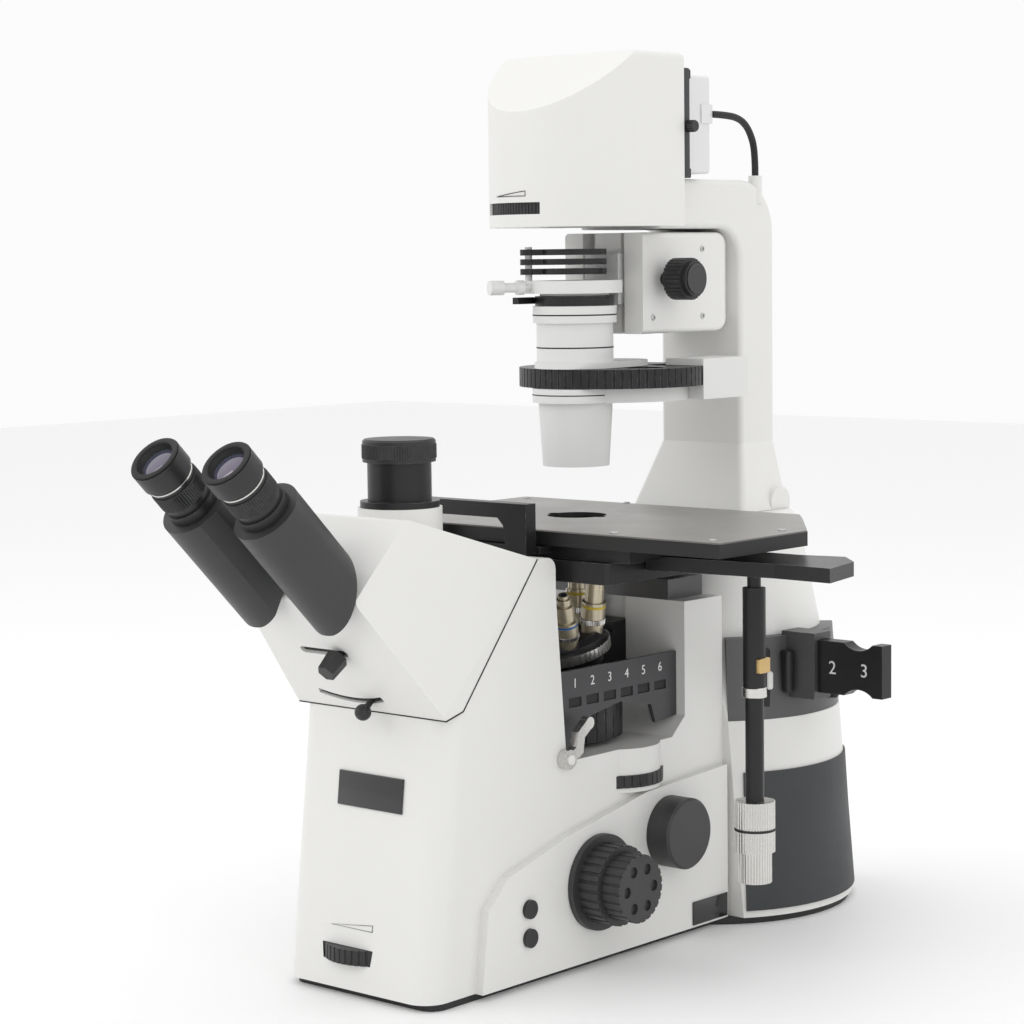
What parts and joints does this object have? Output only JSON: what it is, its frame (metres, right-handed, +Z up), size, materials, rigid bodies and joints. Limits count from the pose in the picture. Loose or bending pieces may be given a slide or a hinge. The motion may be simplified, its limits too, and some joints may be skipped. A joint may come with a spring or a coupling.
{
  "type": "inverted microscope",
  "caption": "Inverted microscope with a tilting illumination pillar, geared stage, focusing nosepiece under the stage and binocular head.",
  "frame": {"origin": "on the bench, straight under the optical axis", "axes": "+Z up, -Y towards the user, +X to the user's right"},
  "size_m": [0.441, 0.7526, 0.736],
  "materials": {
    "white_paint": "fine satin enamel",
    "white_plastic": "fine satin moulding",
    "black_steel": "powder coat",
    "black_rubber": "matt",
    "charcoal_plastic": "satin",
    "grey_metal": "satin",
    "black_anodised": "black anodised",
    "black_plastic": "satin",
    "steel": "ground",
    "bright_steel": "knurled, satin chrome",
    "cream_metal": "satin lacquer",
    "lens_glass": "coated"
  },
  "bodies": {
    "stand": {"main_frame": "white_paint", "base_plate": "black_steel", "rubber_pads": "black_rubber", "side_covers": "white_plastic", "tower_housing": "white_paint", "tower_side_panels": "charcoal_plastic", "filter_collar": "grey_metal", "head_casing": "white_plastic", "photo_tube": "black_anodised", "bridge_pivot": "black_anodised", "number_panel": "grey_metal", "stage_bracket": "grey_metal", "stage_base": "black_anodised"},
    "coarse_drive": {"coarse_knobs": "black_plastic"},
    "fine_drive": {"fine_shaft": "steel", "fine_knobs": "black_plastic"},
    "focus_carrier": {"nosepiece_carrier": "black_anodised"},
    "nosepiece": {"nosepiece_turret": "black_anodised", "turret_grip_ring": "bright_steel", "objectives": "cream_metal"},
    "filter_turret": {"filter_turret": "black_anodised"},
    "light_path": {"light_path_knob": "black_plastic"},
    "upper_button": {"push_button_upper": "black_plastic"},
    "lower_button": {"push_button_lower": "black_plastic"},
    "side_wheel": {"side_wheel": "black_plastic"},
    "brightness_wheel": {"brightness_wheel": "black_plastic"},
    "refocus_lever": {"refocus_lever": "bright_steel"},
    "path_slider": {"path_slider_knob": "black_plastic"},
    "ball_lever": {"ball_lever": "black_plastic"},
    "photo_cap": {"photo_tube_cap": "black_plastic"},
    "right_tube": {"prism_housing_right": "black_anodised"},
    "left_tube": {"prism_housing_left": "black_anodised"},
    "right_eyepiece": {"eyepiece_right": "black_plastic"},
    "left_eyepiece": {"eyepiece_left": "black_plastic"},
    "filter_slider": {"filter_slider": "black_anodised"},
    "stage_carriage": {"stage_carriage": "black_anodised", "stage_guard": "black_anodised", "drive_post": "black_anodised"},
    "stage_top": {"stage_top_plate": "black_anodised", "stage_insert": "black_anodised"},
    "y_knob": {"y_drive_knob": "bright_steel"},
    "x_knob": {"x_drive_knob": "bright_steel"},
    "pillar": {"pillar_arm": "white_paint", "lamp_head_cover": "white_plastic", "collector_lens": "lens_glass", "lamp_plate": "charcoal_plastic", "lamp_heatsink": "white_paint", "lamp_cable": "black_rubber", "condenser_rail_box": "white_paint"},
    "diaphragm_dial": {"diaphragm_dial": "black_plastic"},
    "condenser_drive": {"condenser_knob": "black_plastic"},
    "condenser": {"condenser_bracket": "white_paint", "condenser_body": "white_paint", "condenser_lens_cone": "white_paint"},
    "clamp_screw": {"clamp_screw": "white_paint"},
    "aperture_ring": {"aperture_ring": "black_anodised"},
    "condenser_disc": {"condenser_disc": "black_anodised"},
    "filter_lower": {"filter_holder_lower": "black_anodised"},
    "filter_middle": {"filter_holder_middle": "black_anodised"},
    "filter_upper": {"filter_holder_upper": "black_anodised"}
  },
  "joints": [
    {"name": "coarse_focus", "type": "hinge", "parent": "stand", "child": "coarse_drive", "pos_m": [0, -0.081, 0.069], "axis": [1, 0, 0], "range_deg": [-19, 67]},
    {"name": "fine_focus", "type": "hinge", "parent": "stand", "child": "fine_drive", "pos_m": [0, -0.081, 0.069], "axis": [1, 0, 0], "continuous": true},
    {"name": "nosepiece_lift", "type": "slide", "parent": "stand", "child": "focus_carrier", "axis": [0, 0, 1], "range_m": [-0.002, 0.0071]},
    {"name": "nosepiece_turn", "type": "hinge", "parent": "focus_carrier", "child": "nosepiece", "pos_m": [0, -0.0302, 0.25103], "axis": [0, -0.225, 0.9744], "continuous": true},
    {"name": "filter_turret_turn", "type": "hinge", "parent": "stand", "child": "filter_turret", "pos_m": [0, -0.04, 0.193], "axis": [0, 0, 1], "continuous": true},
    {"name": "light_path_turn", "type": "hinge", "parent": "stand", "child": "light_path", "pos_m": [0.09, 0.01, 0.095], "axis": [1, 0, 0], "range_deg": [-135, 135]},
    {"name": "upper_button_press", "type": "slide", "parent": "stand", "child": "upper_button", "axis": [-1, 0, 0], "range_m": [0, 0.0019], "stiffness_N_per_m": 400, "springref_m": -0.001},
    {"name": "lower_button_press", "type": "slide", "parent": "stand", "child": "lower_button", "axis": [-1, 0, 0], "range_m": [0, 0.0019], "stiffness_N_per_m": 400, "springref_m": -0.001},
    {"name": "side_wheel_turn", "type": "hinge", "parent": "stand", "child": "side_wheel", "pos_m": [0.052, -0.017, 0.143], "axis": [0, 0, 1], "range_deg": [-60, 60]},
    {"name": "brightness_turn", "type": "hinge", "parent": "stand", "child": "brightness_wheel", "pos_m": [-0.0095, -0.2385, 0.033], "axis": [0, 0, 1], "range_deg": [-135, 135]},
    {"name": "refocus_turn", "type": "hinge", "parent": "stand", "child": "refocus_lever", "pos_m": [0.083, -0.114, 0.173], "axis": [1, 0, 0], "range_deg": [-18, 18]},
    {"name": "path_slider_slide", "type": "slide", "parent": "stand", "child": "path_slider", "axis": [1, 0, 0], "range_m": [-0.038, 0.003]},
    {"name": "ball_lever_swing", "type": "hinge", "parent": "stand", "child": "ball_lever", "pos_m": [-0.01, -0.32641, 0.31582], "axis": [0, -0.7754, -0.6315], "range_deg": [-26, 6]},
    {"name": "cap_pull", "type": "slide", "parent": "stand", "child": "photo_cap", "axis": [0, 0, 1], "range_m": [0, 0.02]},
    {"name": "right_tube_swing", "type": "hinge", "parent": "stand", "child": "right_tube", "pos_m": [0, -0.30986, 0.33814], "axis": [0, 0.7071, -0.7071], "range_deg": [0, 23]},
    {"name": "left_tube_swing", "type": "hinge", "parent": "stand", "child": "left_tube", "pos_m": [0, -0.30986, 0.33814], "axis": [0, 0.7071, -0.7071], "range_deg": [-23, 0]},
    {"name": "right_dioptre", "type": "hinge", "parent": "right_tube", "child": "right_eyepiece", "pos_m": [0.038, -0.32541, 0.32259], "axis": [0, -0.7071, 0.7071], "range_deg": [-90, 90]},
    {"name": "left_dioptre", "type": "hinge", "parent": "left_tube", "child": "left_eyepiece", "pos_m": [-0.038, -0.32541, 0.32259], "axis": [0, -0.7071, 0.7071], "range_deg": [-90, 90]},
    {"name": "filter_slide", "type": "slide", "parent": "stand", "child": "filter_slider", "axis": [1, 0, 0], "range_m": [-0.06, 0]},
    {"name": "stage_y", "type": "slide", "parent": "stand", "child": "stage_carriage", "axis": [0, 1, 0], "range_m": [-0.008, 0.03]},
    {"name": "stage_x", "type": "slide", "parent": "stage_carriage", "child": "stage_top", "axis": [1, 0, 0], "range_m": [-0.038, 0.038]},
    {"name": "y_knob_turn", "type": "hinge", "parent": "stage_carriage", "child": "y_knob", "pos_m": [0.183, 0, 0.113], "axis": [0, 0, 1], "range_deg": [-38.5, 143.5]},
    {"name": "x_knob_turn", "type": "hinge", "parent": "stage_carriage", "child": "x_knob", "pos_m": [0.183, 0, 0.08], "axis": [0, 0, 1], "range_deg": [-182, 182]},
    {"name": "pillar_tilt", "type": "hinge", "parent": "stand", "child": "pillar", "pos_m": [0, 0.206, 0.352], "axis": [-1, 0, 0], "range_deg": [0, 15]},
    {"name": "dial_turn", "type": "hinge", "parent": "pillar", "child": "diaphragm_dial", "pos_m": [0, 0, 0.609], "axis": [0, 0, 1], "range_deg": [-36, 36]},
    {"name": "condenser_focus", "type": "hinge", "parent": "pillar", "child": "condenser_drive", "pos_m": [0.06, 0.067, 0.55], "axis": [1, 0, 0], "range_deg": [-172, 57.5]},
    {"name": "condenser_height", "type": "slide", "parent": "pillar", "child": "condenser", "axis": [0, 0, 1], "range_m": [-0.03, 0.01]},
    {"name": "clamp_turn", "type": "hinge", "parent": "condenser", "child": "clamp_screw", "pos_m": [0, 0, 0.54475], "axis": [-0.454, -0.891, 0], "continuous": true},
    {"name": "aperture_turn", "type": "hinge", "parent": "condenser", "child": "aperture_ring", "pos_m": [0, 0, 0.533], "axis": [0, 0, 1], "range_deg": [-30, 30]},
    {"name": "condenser_disc_turn", "type": "hinge", "parent": "condenser", "child": "condenser_disc", "pos_m": [0, 0.049, 0.469], "axis": [0, 0, 1], "continuous": true},
    {"name": "filter_lower_swing", "type": "hinge", "parent": "condenser", "child": "filter_lower", "pos_m": [-0.0285, -0.0251, 0.565], "axis": [0, 0, 1], "range_deg": [-100, 0]},
    {"name": "filter_middle_swing", "type": "hinge", "parent": "condenser", "child": "filter_middle", "pos_m": [-0.0285, -0.0251, 0.565], "axis": [0, 0, 1], "range_deg": [-100, 0]},
    {"name": "filter_upper_swing", "type": "hinge", "parent": "condenser", "child": "filter_upper", "pos_m": [-0.0285, -0.0251, 0.565], "axis": [0, 0, 1], "range_deg": [-100, 0]}
  ],
  "couplings": [
    {"joint": "nosepiece_lift", "follows": "coarse_focus", "m_per_rad": 0.006},
    {"joint": "left_tube_swing", "follows": "right_tube_swing", "ratio": -1},
    {"joint": "y_knob_turn", "follows": "stage_y", "rad_per_m": 83.333},
    {"joint": "x_knob_turn", "follows": "stage_x", "rad_per_m": 83.333},
    {"joint": "condenser_focus", "follows": "condenser_height", "rad_per_m": 100}
  ]
}
